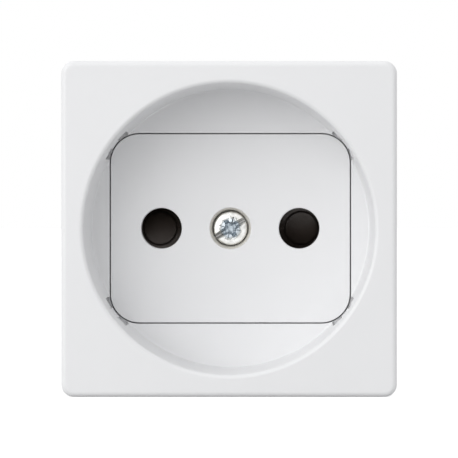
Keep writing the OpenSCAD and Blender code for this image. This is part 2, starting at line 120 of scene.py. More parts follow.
class Tree:
    """A shader tree under construction."""

    def __init__(self, tree: bpy.types.NodeTree) -> None:
        """Takes the tree to build in."""
        self.tree = tree

    def node(
        self, kind: str, inputs: dict[str | int, object] | None = None, **settings: object
    ) -> Node:
        """Adds a node.

        Args:
            kind: The node's type, without the ShaderNode before it.
            inputs: Values of inputs that stay unlinked.
            settings: Attributes to set on it.

        Returns:
            The new node.
        """
        made = self.tree.nodes.new(f"ShaderNode{kind}")
        for key, value in settings.items():
            setattr(made, key, value)
        for key, value in (inputs or {}).items():
            made.inputs[key].default_value = value
        return made

    def wire(self, *links: tuple[Node, str, Node, str | int]) -> None:
        """Links outputs to inputs, each link as node, output, node, input."""
        for source, out, target, into in links:
            self.tree.links.new(source.outputs[out], target.inputs[into])

    def seen_by(self, *kinds: str) -> Out:
        """Masks what some kinds of rays see.

        Args:
            kinds: Names of the kinds in Light Path, without Is and Ray.

        Returns:
            The mask.
        """
        path = self.node("LightPath")
        mask: Out = (path, f"Is {kinds[0]} Ray")
        for kind in kinds[1:]:
            total = self.node("Math", operation="ADD", use_clamp=True)
            self.wire((*mask, total, 0), (path, f"Is {kind} Ray", total, 1))
            mask = (total, "Value")
        return mask


class NodeGroup(Tree):
    """A node group that works on a vector."""

    def __init__(self, name: str, takes: dict[str, float | Sequence[float]], **gives: str) -> None:
        """Starts a group.

        Args:
            name: The group's name.
            takes: Default of each input besides the vector, a number or a colour.
            gives: Kind of each output, Float or Color.
        """
        super().__init__(bpy.data.node_groups.new(name, "ShaderNodeTree"))
        sockets = self.tree.interface
        sockets.new_socket(name="Vector", in_out="INPUT", socket_type="NodeSocketVector")
        for key, value in takes.items():
            kind = "NodeSocketFloat" if isinstance(value, float) else "NodeSocketColor"
            made = sockets.new_socket(name=key, in_out="INPUT", socket_type=kind)
            made.default_value = value
        for key, kind in gives.items():
            sockets.new_socket(name=key, in_out="OUTPUT", socket_type=f"NodeSocket{kind}")
        self.start = self.tree.nodes.new("NodeGroupInput")
        self.end = self.tree.nodes.new("NodeGroupOutput")


class Effects:
    """The effects that several finishes share, each built once as a node group."""

    def __init__(self) -> None:
        """Builds the groups."""
        self.grain = self._grain()
        self.drift = self._drift()
        self.rubbed = self._rubbed()
        self.round_patch = self._round_patch()
        self.depth_band = self._depth_band()

    @staticmethod
    def _grain() -> bpy.types.NodeTree:
        """Fine spark-eroded grain of moulded plastic over a slow waviness.

        Returns:
            A group that gives a height and a mask of the grain.
        """
        takes = {"Fine Scale": 4000.0, "Wave Scale": 120.0, "Wave Share": 0.3}
        g = NodeGroup("moulded_grain", takes, Height="Float", Mask="Float")
        fine = g.node("TexNoise", {"Detail": 3.0})
        wave = g.node("TexNoise", {"Detail": 1.0})
        mix = g.node("Mix", data_type="FLOAT")
        g.wire(
            (g.start, "Vector", fine, "Vector"), (g.start, "Fine Scale", fine, "Scale"),
            (g.start, "Vector", wave, "Vector"), (g.start, "Wave Scale", wave, "Scale"),
            (g.start, "Wave Share", mix, "Factor"),
            (fine, "Fac", mix, "A"), (wave, "Fac", mix, "B"),
            (mix, "Result", g.end, "Height"), (fine, "Fac", g.end, "Mask"),
        )
        return g.tree

    @staticmethod
    def _drift() -> bpy.types.NodeTree:
        """A colour that drifts a little from place to place.

        Returns:
            A group that gives the colour.
        """
        near, far = (0.8, 0.8, 0.8, 1.0), (0.7, 0.7, 0.7, 1.0)
        takes = {"Colour": near, "Far Colour": far, "Scale": 60.0}
        g = NodeGroup("colour_drift", takes, Colour="Color")
        cloud = g.node("TexNoise", {"Detail": 4.0, "Roughness": 0.55})
        spread = g.node("MapRange", {"From Min": 0.35, "From Max": 0.65})
        mix = g.node("Mix", data_type="RGBA")
        g.wire(
            (g.start, "Vector", cloud, "Vector"), (g.start, "Scale", cloud, "Scale"),
            (cloud, "Fac", spread, "Value"), (spread, "Result", mix, "Factor"),
            (g.start, "Colour", mix, "A"), (g.start, "Far Colour", mix, "B"),
            (mix, "Result", g.end, "Colour"),
        )
        return g.tree

    @staticmethod
    def _rubbed() -> bpy.types.NodeTree:
        """Fine drawn lines and blotches of tumbled, plated or rolled metal.

        Returns:
            A group that gives a roughness and a height.
        """
        takes = {"Line Scale": 900.0, "Low Roughness": 0.2, "High Roughness": 0.4}
        g = NodeGroup("rubbed_metal", takes, Roughness="Float", Height="Float")
        stretch = g.node("Mapping", {"Scale": (1.0, 1.0, 0.12)})
        lines = g.node("TexNoise", {"Detail": 5.0})
        blotch = g.node("TexNoise", {"Scale": 400.0})
        both = g.node("Mix", {"Factor": 0.5}, data_type="FLOAT")
        spread = g.node("MapRange", {"From Min": 0.3, "From Max": 0.7})
        g.wire(
            (g.start, "Vector", stretch, "Vector"), (stretch, "Vector", lines, "Vector"),
            (g.start, "Line Scale", lines, "Scale"), (g.start, "Vector", blotch, "Vector"),
            (lines, "Fac", both, "A"), (blotch, "Fac", both, "B"),
            (both, "Result", spread, "Value"), (g.start, "Low Roughness", spread, "To Min"),
            (g.start, "High Roughness", spread, "To Max"),
            (spread, "Result", g.end, "Roughness"), (lines, "Fac", g.end, "Height"),
        )
        return g.tree

    @staticmethod
    def _round_patch() -> bpy.types.NodeTree:
        """A soft round patch about the y axis, with a ragged edge.

        Returns:
            A group that gives the mask of the patch.
        """
        takes = {"Inner Radius": 0.001, "Outer Radius": 0.0015, "Ragged": 0.0003}
        g = NodeGroup("round_patch", takes, Mask="Float")
        apart, flat = g.node("SeparateXYZ"), g.node("CombineXYZ")
        length = g.node("VectorMath", operation="LENGTH")
        speck = g.node("TexNoise", {"Scale": 3500.0, "Detail": 2.0})
        wander = g.node("Math", operation="MULTIPLY_ADD")
        spread = g.node("MapRange", {"To Min": 1.0, "To Max": 0.0}, interpolation_type="SMOOTHSTEP")
        g.wire(
            (g.start, "Vector", apart, "Vector"), (apart, "X", flat, "X"), (apart, "Z", flat, "Z"),
            (flat, "Vector", length, 0), (g.start, "Vector", speck, "Vector"),
            (speck, "Fac", wander, 0), (g.start, "Ragged", wander, 1), (length, "Value", wander, 2),
            (wander, "Value", spread, "Value"), (g.start, "Inner Radius", spread, "From Min"),
            (g.start, "Outer Radius", spread, "From Max"), (spread, "Result", g.end, "Mask"),
        )
        return g.tree

    @staticmethod
    def _depth_band() -> bpy.types.NodeTree:
        """What lies deeper than a level, counted along y.

        Returns:
            A group that gives a mask: 0 before the start, 1 past the end.
        """
        g = NodeGroup("depth_band", {"Start": 0.005, "End": 0.006}, Mask="Float")
        apart = g.node("SeparateXYZ")
        spread = g.node("MapRange", interpolation_type="SMOOTHSTEP")
        g.wire(
            (g.start, "Vector", apart, "Vector"), (apart, "Y", spread, "Value"),
            (g.start, "Start", spread, "From Min"), (g.start, "End", spread, "From Max"),
            (spread, "Result", g.end, "Mask"),
        )
        return g.tree


# Finishes


class Surface(Tree):
    """A material under construction around one Principled shader."""

    def __init__(
        self, name: str, effects: Effects | None = None, **values: float | Sequence[float]
    ) -> None:
        """Starts a material.

        Args:
            name: The material's name.
            effects: The shared node groups, where it uses them.
            values: Plain values of the shader; underscores stand for spaces.
        """
        self.material = bpy.data.materials.new(name)
        self.material.use_nodes = True
        super().__init__(self.material.node_tree)
        self.effects = effects
        self.shader = self.tree.nodes["Principled BSDF"]
        for key, value in values.items():
            self.shader.inputs[key.replace("_", " ")].default_value = value
        self.place = self.node("Mapping")
        self.wire((self.node("TexCoord"), "Object", self.place, "Vector"))

    def effect(self, tree: bpy.types.NodeTree, **values: float | Sequence[float]) -> Node:
        """Places an effect on this material's coordinates.

        Args:
            tree: The effect's group.
            values: Its inputs; underscores stand for spaces.

        Returns:
            The group's node.
        """
        inputs = {key.replace("_", " "): value for key, value in values.items()}
        node = self.node("Group", inputs, node_tree=tree)
        self.wire((self.place, "Vector", node, "Vector"))
        return node

    def drifting(self, colour: Colour, far_colour: Colour, scale: float) -> Out:
        """Places a colour that drifts to another one, at a scale."""
        near, far = (*colour, 1.0), (*far_colour, 1.0)
        return self.effect(self.effects.drift, Colour=near, Far_Colour=far, Scale=scale), "Colour"

    def patch(self, radius: float, blur: float, ragged: float) -> Node:
        """Masks a round patch about the y axis, with its sizes in millimetres."""
        sizes = {"Inner_Radius": radius - blur, "Outer_Radius": radius + blur, "Ragged": ragged}
        return self.effect(self.effects.round_patch, **{k: v * MM for k, v in sizes.items()})

    def deeper(self, start: float, end: float) -> Node:
        """Masks what lies deeper than a level, in millimetres."""
        return self.effect(self.effects.depth_band, Start=start * MM, End=end * MM)

    def tinted(self, colour: Out, mask: Out, tint: Colour, share: float) -> Out:
        """Mixes a tint into a colour where a mask is.

        Args:
            colour: The colour so far.
            mask: Where the tint goes.
            tint: The tint.
            share: Its share where the mask is full.

        Returns:
            The mixed colour.
        """
        amount = self.node("Math", {1: share}, operation="MULTIPLY")
        mix = self.node("Mix", {"B": (*tint, 1.0)}, data_type="RGBA")
        self.wire((*mask, amount, 0), (amount, "Value", mix, "Factor"), (*colour, mix, "A"))
        return mix, "Result"

    def bump(self, height: Out, depth_mm: float) -> None:
        """Feeds a height into the shader's normal, with that depth in millimetres."""
        bump = self.node("Bump", {"Distance": depth_mm * MM})
        self.wire((*height, bump, "Height"), (bump, "Normal", self.shader, "Normal"))


@dataclass(frozen=True)
class WellShadeAndDirt:
    """Painted warm shade in the screw's well, with some dirt, as a warmer tint of the plastic."""

    # Painted shade and dirt: the warm tint that the well's plastic takes below the floor.
    tint: Colour = (0.93, 0.9, 0.82)
    share: float = 0.8
    radius: float = 2.98
    blur: float = 0.05
    start: float = 4.0
    end: float = 4.3

    def over(self, s: Surface, colour: Out, height: Out) -> tuple[Out, Out]:
        """Tints a colour inside the well with the painted shade and dirt.

        Args:
            s: The material.
            colour: The colour so far.
            height: The height so far.

        Returns:
            The tinted colour and the same height.
        """
        # Painted shade and dirt where the well's round patch and its depth meet.
        patch, deep = s.patch(self.radius, self.blur, 0.0), s.deeper(self.start, self.end)
        both = s.node("Math", operation="MULTIPLY")
        s.wire((patch, "Mask", both, 0), (deep, "Mask", both, 1))
        return s.tinted(colour, (both, "Value"), self.tint, self.share), height


@dataclass(frozen=True)
class DriveShadeAndWear:
    """Blue-grey wear and painted shade, with dents, in the cross; painted shade at the slot's foot.
    """

    # Blue-grey tint of the cross: partly wear, partly painted shade in the recess.
    tint: Colour = (0.43, 0.5, 0.56)
    share: float = 0.75
    radius: float = 1.85
    blur: float = 0.25
    ragged: float = 0.9
    dents: float = 26.0
    # Painted shade: the slot's foot, deeper than its start, turns nearly black.
    slot_shade_tint: Colour = (0.05, 0.05, 0.048)
    slot_shade_share: float = 0.6
    slot_shade_start: float = 5.95
    slot_shade_end: float = 6.2

    def over(self, s: Surface, colour: Out, height: Out) -> tuple[Out, Out]:
        """Paints shade at the slot's foot, tints the drive with wear and painted shade, and deepens
        a height there.

        Args:
            s: The material.
            colour: The colour so far.
            height: The height so far.

        Returns:
            The tinted colour and the deeper height.
        """
        drive = s.patch(self.radius, self.blur, self.ragged)
        # Painted shade at the slot's foot, where the metal would otherwise mirror the bright room.
        foot = s.deeper(self.slot_shade_start, self.slot_shade_end)
        colour = s.tinted(colour, (foot, "Mask"), self.slot_shade_tint, self.slot_shade_share)
        # Wear and painted shade across the drive's ragged patch.
        colour = s.tinted(colour, (drive, "Mask"), self.tint, self.share)
        dents = s.node("Math", {1: self.dents, 2: 1.0}, operation="MULTIPLY_ADD")
        dented = s.node("Math", operation="MULTIPLY")
        s.wire((drive, "Mask", dents, 0), (dents, "Value", dented, 0), (*height, dented, 1))
        return colour, (dented, "Value")


@dataclass(frozen=True)
class Finish:
    """A colour that drifts a little, with a fine relief, and with wear, dirt and painted shade
    where a finish has them.
    """

    plain: ClassVar[dict[str, float]] = {}

    name: str
    colour: Colour
    far_colour: Colour
    smooth: float
    rough: float
    relief_mm: float = 0.003
    drift_scale: float = 350.0
    metallic: float = 0.0
    # Painted shade together with wear and dirt, laid over the colour where a finish has it.
    shade_and_wear: WellShadeAndDirt | DriveShadeAndWear | None = None

    def relief(self, s: Surface) -> tuple[Out, Out]:
        """Makes the roughness and the height, each kind of finish in its own way."""
        raise NotImplementedError

    def make(self, effects: Effects) -> bpy.types.Material:
        """Builds the material.

        Args:
            effects: The shared node groups.

        Returns:
            The finished material.
        """
        s = Surface(self.name, effects, Metallic=self.metallic, **self.plain)
        colour = s.drifting(self.colour, self.far_colour, self.drift_scale)
        roughness, height = self.relief(s)
        # Lays the painted shade with its wear and dirt over the colour.
        if self.shade_and_wear:
            colour, height = self.shade_and_wear.over(s, colour, height)
        s.wire((*colour, s.shader, "Base Color"), (*roughness, s.shader, "Roughness"))
        s.bump(height, self.relief_mm)
        return s.material


@dataclass(frozen=True)
class MouldedPlastic(Finish):
    """Injection-moulded plastic with a fine grain."""

    plain: ClassVar[dict[str, float]] = {"IOR": 1.5, "Specular_IOR_Level": 0.5}

    drift_scale: float = 45.0
    grain_scale: float = 2600.0
    wave_scale: float = 90.0
    wave_share: float = 0.3

    def relief(self, s: Surface) -> tuple[Out, Out]:
        """Makes the roughness and the height of the grain.

        Args:
            s: The material.

        Returns:
            The roughness and the height.
        """
        grain = s.effect(
            s.effects.grain, Fine_Scale=self.grain_scale, Wave_Scale=self.wave_scale,
            Wave_Share=self.wave_share,
        )
        spread = s.node("MapRange", {"To Min": self.smooth, "To Max": self.rough})
        s.wire((grain, "Mask", spread, "Value"))
        return (spread, "Result"), (grain, "Height")


@dataclass(frozen=True)
class PlatedMetal(Finish):
    """Rolled, turned or plated metal with fine lines."""

    metallic: float = 1.0
    line_scale: float = 2200.0

    def relief(self, s: Surface) -> tuple[Out, Out]:
        """Makes the roughness and the height of the lines."""
        rub = s.effect(
            s.effects.rubbed, Line_Scale=self.line_scale, Low_Roughness=self.smooth,
            High_Roughness=self.rough,
        )
        return (rub, "Roughness"), (rub, "Height")


FINISHES: dict[Slot, Finish] = {
    Slot.WHITE_PLASTIC: MouldedPlastic(
        "white_moulded_plastic", (0.862, 0.863, 0.869), (0.846, 0.848, 0.855),
        smooth=0.3, rough=0.42, grain_scale=3200.0, relief_mm=0.004,
    ),
    Slot.GREY_PLASTIC: MouldedPlastic(
        "grey_base_plastic", (0.56, 0.56, 0.55), (0.52, 0.52, 0.51),
        smooth=0.42, rough=0.6, grain_scale=2400.0, relief_mm=0.012,
    ),
    Slot.SHUTTER_PLASTIC: MouldedPlastic(
        "dark_shutter_plastic", (0.03, 0.0225, 0.018), (0.042, 0.032, 0.026),
        smooth=0.3, rough=0.45, grain_scale=2600.0, relief_mm=0.006,
    ),
    Slot.ZINC_STEEL: PlatedMetal(
        "zinc_plated_steel", (0.76, 0.78, 0.8), (0.66, 0.69, 0.73), smooth=0.16, rough=0.34
    ),
    Slot.SPRING_STEEL: PlatedMetal(
        "drawn_spring_steel", (0.6, 0.61, 0.63), (0.5, 0.51, 0.53), smooth=0.2, rough=0.36
    ),
    Slot.CONTACT_BRONZE: PlatedMetal(
        "pressed_bronze", (0.78, 0.56, 0.32), (0.7, 0.48, 0.27), smooth=0.22, rough=0.4
    ),
    Slot.BUSH_BRASS: PlatedMetal(
        "turned_brass", (0.82, 0.66, 0.34), (0.76, 0.58, 0.28), smooth=0.18, rough=0.34
    ),
}
# The pin face's white, with painted shade and dirt in the screw's well.
WHITE_WITH_WELL_SHADE_AND_DIRT = replace(
    FINISHES[Slot.WHITE_PLASTIC], name="white_moulded_plastic_with_well_shade_and_dirt", shade_and_wear=WellShadeAndDirt()
)
# Zinc of the centre screw, with wear and painted shade in its drive and painted shade at its slot's
# foot.
SHADED_AND_WORN_ZINC = PlatedMetal(
    "zinc_with_shaded_worn_drive", (0.95, 0.95, 0.935), (0.62, 0.62, 0.6), smooth=0.2, rough=0.42,
    relief_mm=0.008, drift_scale=1000.0, line_scale=2600.0, metallic=0.85, shade_and_wear=DriveShadeAndWear(),
)


class Finishes:
    """The finished materials, each made once."""

    def __init__(self) -> None:
        """Makes the shared effects."""
        self.effects = Effects()
        self.made: dict[Finish, bpy.types.Material] = {}

    def of(self, finish: Finish) -> bpy.types.Material:
        """Gives a finish's material, which is made on first use.

        Args:
            finish: The finish.

        Returns:
            Its material.
        """
        if finish not in self.made:
            self.made[finish] = finish.make(self.effects)
        return self.made[finish]


# Mesh work


def arc(centre: Pair, r: float, start: float, end: float, steps: int) -> list[Pair]:
    """Places points on an arc.

    Args:
        centre: Middle of the arc.
        r: Radius.
        start: First angle in degrees.
        end: Last angle in degrees.
        steps: Number of steps between them.

    Returns:
        The points, both ends among them.
    """
    angles = (math.radians(start + (end - start) * i / steps) for i in range(steps + 1))
    return [(centre[0] + r * math.cos(a), centre[1] + r * math.sin(a)) for a in angles]


class Workpiece:
    """One mesh in millimetres, shaped with bmesh operators while it lies on its back."""

    def __init__(self) -> None:
        """Starts an empty mesh."""
        self.bm = bmesh.new()

    def spun(self, profile: Profile, steps: int = 192, closed: bool = False) -> "Workpiece":
        """Turns a profile round the z axis.

        Args:
            profile: The profile.
            steps: Number of steps round the turn.
            closed: Whether the last point joins the first.

        Returns:
            This workpiece.
        """
        points = [self.bm.verts.new((r, 0.0, z)) for r, z in profile]
        pairs = list(zip(points, points[1:])) + ([(points[-1], points[0])] if closed else [])
        edges = [self.bm.edges.new(pair) for pair in pairs]
        bmesh.ops.spin(
            self.bm, geom=points + edges, cent=(0, 0, 0), axis=(0, 0, 1), dvec=(0, 0, 0),
            angle=TURN, steps=steps, use_merge=True, use_duplicate=False,
        )
        bmesh.ops.remove_doubles(self.bm, verts=self.bm.verts, dist=SAME_POINT)
        bmesh.ops.recalc_face_normals(self.bm, faces=self.bm.faces)
        return self

    def disc(self, r: float, low: float, high: float, steps: int = 192) -> "Workpiece":
        """Turns a plain disc of that radius between two heights."""
        return self.spun([(0.0, low), (r, low), (r, high), (0.0, high)], steps)

    def slab(
        self, w: float, h: float, r: float, low: float, high: float, segments: int = 12
    ) -> "Workpiece":
        """Adds a block with rounded upright edges.

        Args:
            w: Width along x.
            h: Height along y.
            r: Radius of the upright edges.
            low: Lower end.
            high: Upper end.
            segments: Steps of each rounding.

        Returns:
            This workpiece.
        """
        size = Matrix.Diagonal((w, h, high - low, 1.0))
        middle = Matrix.Translation((0, 0, (low + high) / 2))
        made = bmesh.ops.create_cube(self.bm, size=1.0, matrix=middle @ size)
        corners = set(made["verts"])
        upright = [
            e for e in self.bm.edges
            if set(e.verts) <= corners and abs(e.verts[0].co.z - e.verts[1].co.z) > SAME_POINT
        ]
        return self._rounded(upright, r, segments) if r > 0 else self

    def _rounded(
        self, edges: list[bmesh.types.BMEdge], width: float, segments: int, clamp: bool = False
    ) -> "Workpiece":
        """Rounds edges.

        Args:
            edges: The edges.
            width: Width of the rounding.
            segments: Steps of the rounding.
            clamp: Whether it gets narrower where there is no room.

        Returns:
            This workpiece.
        """
        bmesh.ops.bevel(
            self.bm, geom=edges, offset=width, offset_type="OFFSET", affect="EDGES",
            segments=segments, profile=0.5, material=-1, clamp_overlap=clamp,
        )
        return self

    def round_rim(
        self, height: float, radius: float, segments: int, degrees: float = 40.0
    ) -> "Workpiece":
        """Rounds the edges that lie at a height between a level face and a side.

        Args:
            height: Height of the edges.
            radius: Radius of the rounding.
            segments: Steps of the rounding.
            degrees: Only edges with a larger angle are rounded.

        Returns:
            This workpiece.
        """
        rim = [
            e for e in self.bm.edges
            if all(abs(v.co.z - height) < SAME_POINT for v in e.verts)
            and len(e.link_faces) == 2
            and e.calc_face_angle(0.0) > math.radians(degrees)
        ]
        return self._rounded(rim, radius, segments)

    def trough(
        self, length: float, mouth: float, foot: float, low: float, high: float, taper: float = 0.0
    ) -> "Workpiece":
        """Adds a bar that is wider at its top, as the cut of a groove.

        Args:
            length: Length along x at the top.
            mouth: Width at the top.
            foot: Width at the bottom.
            low: Lower end.
            high: Upper end.
            taper: Share of the length that is lost towards the bottom.

        Returns:
            This workpiece.
        """
        self.slab(length, mouth, 0.0, low, high)
        bottom = [v for v in self.bm.verts if v.co.z < (low + high) / 2]
        bmesh.ops.scale(self.bm, vec=(1.0 - taper, foot / mouth, 1.0), verts=bottom)
        return self

    def wound(self, section: Profile, turns: int, pitch: float, steps: int = 48) -> "Workpiece":
        """Winds a closed section round the z axis as a screw thread.

        Args:
            section: The section.
            turns: Number of turns.
            pitch: Rise of a turn.
            steps: Steps of a turn.

        Returns:
            This workpiece.
        """
        points = [self.bm.verts.new((r, 0.0, z)) for r, z in section]
        first = self.bm.faces.new(points)
        bmesh.ops.spin(
            self.bm, geom=[*points, *first.edges, first], cent=(0, 0, 0), axis=(0, 0, 1),
            dvec=(0, 0, pitch / steps), angle=TURN * turns, steps=steps * turns, use_merge=False,
            use_duplicate=False,
        )
        bmesh.ops.recalc_face_normals(self.bm, faces=self.bm.faces)
        return self

    def merged(self) -> "Workpiece":
        """Merges loose triangles, and makes one face of the triangles that lie level.

        Returns:
            This workpiece.
        """
        bmesh.ops.remove_doubles(self.bm, verts=self.bm.verts, dist=SAME_COPIED_POINT)
        bmesh.ops.dissolve_limit(
            self.bm, angle_limit=LEVEL_ANGLE, use_dissolve_boundaries=False,
            verts=self.bm.verts, edges=self.bm.edges, delimit=set(),
        )
        return self

    def soften(self, width: float, segments: int = 2, degrees: float = 40.0) -> "Workpiece":
        """Breaks the sharp outer edges.

        Args:
            width: Width of the rounding.
            segments: Steps of the rounding.
            degrees: Only edges with a larger angle are rounded.

        Returns:
            This workpiece.
        """
        sharp = [
            e for e in self.bm.edges
            if len(e.link_faces) == 2 and e.is_convex
            and e.calc_face_angle(0.0) > math.radians(degrees)
        ]
        return self._rounded(sharp, width, segments, clamp=True)

    def joined(self, other: "Workpiece") -> "Workpiece":
        """Adds another workpiece's mesh without fusing the two.

        Args:
            other: The other workpiece.

        Returns:
            This workpiece.
        """
        mesh = bpy.data.meshes.new("joined")
        other.bm.to_mesh(mesh)
        self.bm.from_mesh(mesh)
        bpy.data.meshes.remove(mesh)
        return self

    def turned(self, matrix: Matrix) -> "Workpiece":
        """Moves or turns everything so far."""
        bmesh.ops.transform(self.bm, matrix=matrix, verts=self.bm.verts)
        return self

    def moved(
        self, x: float = 0.0, y: float = 0.0, z: float = 0.0, degrees: float = 0.0
    ) -> "Workpiece":
        """Moves everything so far, and then turns it round the z axis."""
        turn = Matrix.Rotation(math.radians(degrees), 4, "Z")
        return self.turned(turn @ Matrix.Translation((x, y, z)))

    def fused(self, *others: "Workpiece") -> "Workpiece":
        """Joins other workpieces to this one as one solid."""
        return self._boolean("UNION", others)

    def cut(self, *others: "Workpiece") -> "Workpiece":
        """Cuts other workpieces out of this one."""
        return self._boolean("DIFFERENCE", others)

    def _boolean(self, kind: str, others: Iterable["Workpiece"]) -> "Workpiece":
        """Combines this solid with others, one after the other.

        Args:
            kind: UNION or DIFFERENCE.
            others: The other workpieces, which are used up.

        Returns:
            This workpiece.
        """
        for other in others:
            own, tool = self._loose("own"), other._loose("tool")
            step = own.modifiers.new("combine", "BOOLEAN")
            step.operation, step.solver, step.object = kind, "EXACT", tool
            graph = bpy.context.evaluated_depsgraph_get()
            graph.update()
            mesh = bpy.data.meshes.new_from_object(own.evaluated_get(graph))
            self.bm.clear()
            self.bm.from_mesh(mesh)
            for thing in (own, tool):
                data = thing.data
                bpy.data.objects.remove(thing)
                bpy.data.meshes.remove(data)
            bpy.data.meshes.remove(mesh)
        return self

    def _loose(self, name: str) -> bpy.types.Object:
        """Makes a short-lived object of this mesh, for the boolean steps.

        Args:
            name: Its name.

        Returns:
            The object.
        """
        mesh = bpy.data.meshes.new(name)
        self.bm.to_mesh(mesh)
        thing = bpy.data.objects.new(name, mesh)
        bpy.context.scene.collection.objects.link(thing)
        return thing


# Pieces


@dataclass(frozen=True)
class Piece:
    """A piece that stands for a solid, by itself as a merged copy with its edges broken."""

    node: str
    slot: Slot
    softened: float = 0.0
    body: Body | None = Body.SOCKET
    finish: Finish | None = None
    sharp_degrees: float = 32.0

    def work(self) -> Workpiece:
        """Copies the solid, merges its loose triangles and breaks its sharp edges.

        Returns:
            The copy, lying on its back in millimetres.
        """
        work = Workpiece()
        work.bm.from_mesh(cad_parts[self.node].data)
        work.turned(UPRIGHT.inverted()).merged()
        return work.soften(self.softened) if self.softened else work

    def build(self, finishes: Finishes) -> bpy.types.Object:
        """Stands the piece up, shades and dresses it, hangs it on its body and hides the solid it
        replaces.

        Args:
            finishes: The materials.

        Returns:
            The finished piece.
        """
        name, slot, body = f"{self.node}_fine", self.slot, self.body
        work = self.work().turned(UPRIGHT)
        mesh = bpy.data.meshes.new(name)
        work.bm.to_mesh(mesh)
        work.bm.free()
        mesh.shade_smooth()
        mesh.set_sharp_from_angle(angle=math.radians(self.sharp_degrees))
        piece = bpy.data.objects.new(name, mesh)
        bpy.context.scene.collection.objects.link(piece)
        mesh.materials.append(finishes.of(self.finish or FINISHES[slot]))
        weighted = piece.modifiers.new("even_shading", "WEIGHTED_NORMAL")
        weighted.keep_sharp = True
        if body:
            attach(piece, body.value)
        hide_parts(self.node)
        return piece


@dataclass(frozen=True)
class FrontCover(Piece):
    """The moulding with the square plate, the round recess and the window of the pin face."""

    node: str = "front_cover"
    slot: Slot = Slot.WHITE_PLASTIC
    plate: float = 45.0
    corner: float = 1.7
    edge: float = 0.74
    rear_edge: float = 0.12
    skirt: float = 1.8
    skirt_corner: float = 0.4
    face_wall: float = 1.9
    recess_r: float = 19.5
    floor_r: float = 19.2
    lip: float = 0.62
    crease: float = 0.25
    cup_wall: float = 1.5
    window: Triple = (33.3, 26.3, 4.1)
    ledge_hole: Triple = (30.7, 23.7, 2.8)
    relief_size: Triple = (0.6, 1.7, 0.28)
    relief_span: Pair = (-0.7, 6.0)
    relief_r: float = 19.1
    corner_turn: float = 36.2
    relief_turn: float = 4.5
    pocket_y: float = 14.65
    floor_wall: float = 2.0
    rib: float = 1.2
    rib_rise: float = 1.0

    def shell(self) -> Workpiece:
        """Makes the plate with its rounded front edges and the hollow behind it.

        Returns:
            The plate's shell.
        """
        inner, top = self.plate - 2 * self.skirt, LEVELS.face - self.face_wall
        shell = Workpiece().slab(self.plate, self.plate, self.corner, 0.0, LEVELS.face)
        shell.round_rim(LEVELS.face, self.edge, segments=10)
        shell.round_rim(0.0, self.rear_edge, segments=3)
        return shell.cut(Workpiece().slab(inner, inner, self.skirt_corner, -OVER, top))

    def cup(self) -> Workpiece:
        """Makes the solid that the recess is cut from."""
        top = LEVELS.face - self.face_wall / 2
        return Workpiece().disc(self.recess_r + self.cup_wall, LEVELS.ledge, top)

    def rib_at(self, index: int) -> Workpiece:
        """Makes the rib behind one corner of the plate.

        Args:
            index: Number of the corner, from 0 to 3.

        Returns:
            The rib.
        """
        start = self.recess_r + self.cup_wall / 2
        end = (self.plate / 2 - self.skirt) * math.sqrt(2) + self.skirt / 4
        top = LEVELS.face - self.face_wall / 2
        rib = Workpiece().slab(end - start, self.rib, 0.0, self.rib_rise, top)
        return rib.moved((start + end) / 2, degrees=45 + 90 * index)

    def recess(self) -> Workpiece:
        """Makes the cut of the recess: lip, drafted wall, crease and floor.

        Returns:
            The cut.
        """
        c, lip_r, high = self.crease, self.recess_r + self.lip, LEVELS.face + OVER
        profile = [(0.0, LEVELS.floor)]
        profile += arc((self.floor_r - c, LEVELS.floor + c), c, -90.0, 0.0, steps=6)
        profile += arc((lip_r, LEVELS.face - self.lip), self.lip, 180.0, 90.0, steps=12)
        return Workpiece().spun([*profile, (lip_r, high), (0.0, high)])

    def reliefs(self) -> list[Workpiece]:
        """Makes the cuts of the short grooves at the wall's foot, two at each corner of the window.

        Returns:
            The cuts, which free the wall where the window would leave a thin sliver of floor.
        """
        deep, wide, r = self.relief_size
        low, high = (LEVELS.floor + rise for rise in self.relief_span)
        right, left, half = self.corner_turn, 180 - self.corner_turn, self.relief_turn
        cuts = []
        for middle in (right, -right, left, 360 - left):
            for degrees in (middle - half, middle + half):
                cut = Workpiece().slab(deep, wide, r, low, high, segments=5)
                cuts.append(cut.moved(self.relief_r + deep / 2).moved(degrees=degrees))
        return cuts

    def pocket(self, side: Side) -> Workpiece:
        """Makes the cut of the shallow pocket behind the floor, above or below the window.

        Args:
            side: The turn that takes the pocket to its place.

        Returns:
            The cut.
        """
        low, high, r = LEVELS.ledge - OVER, LEVELS.floor - self.floor_wall, self.floor_r
        rest = Workpiece().slab(4 * r, 2 * r, 0.0, low - OVER, high + OVER)
        disc = Workpiece().disc(r, low, high, steps=96).cut(rest.moved(y=self.pocket_y - r))
        return disc.moved(degrees=side.value)

    def work(self) -> Workpiece:
        """Makes the cover, first its solid forms and then its cuts.

        Returns:
            The cover.
        """
        work = self.shell().fused(self.cup(), *(self.rib_at(i) for i in range(4)))
        return work.cut(
            self.recess(),
            *self.reliefs(),
            Workpiece().slab(*self.window, LEVELS.flange, LEVELS.face + 2 * OVER, segments=24),
            Workpiece().slab(*self.ledge_hole, LEVELS.ledge - OVER, LEVELS.floor),
            self.pocket(Side.RIGHT),
            self.pocket(Side.LEFT),
        )


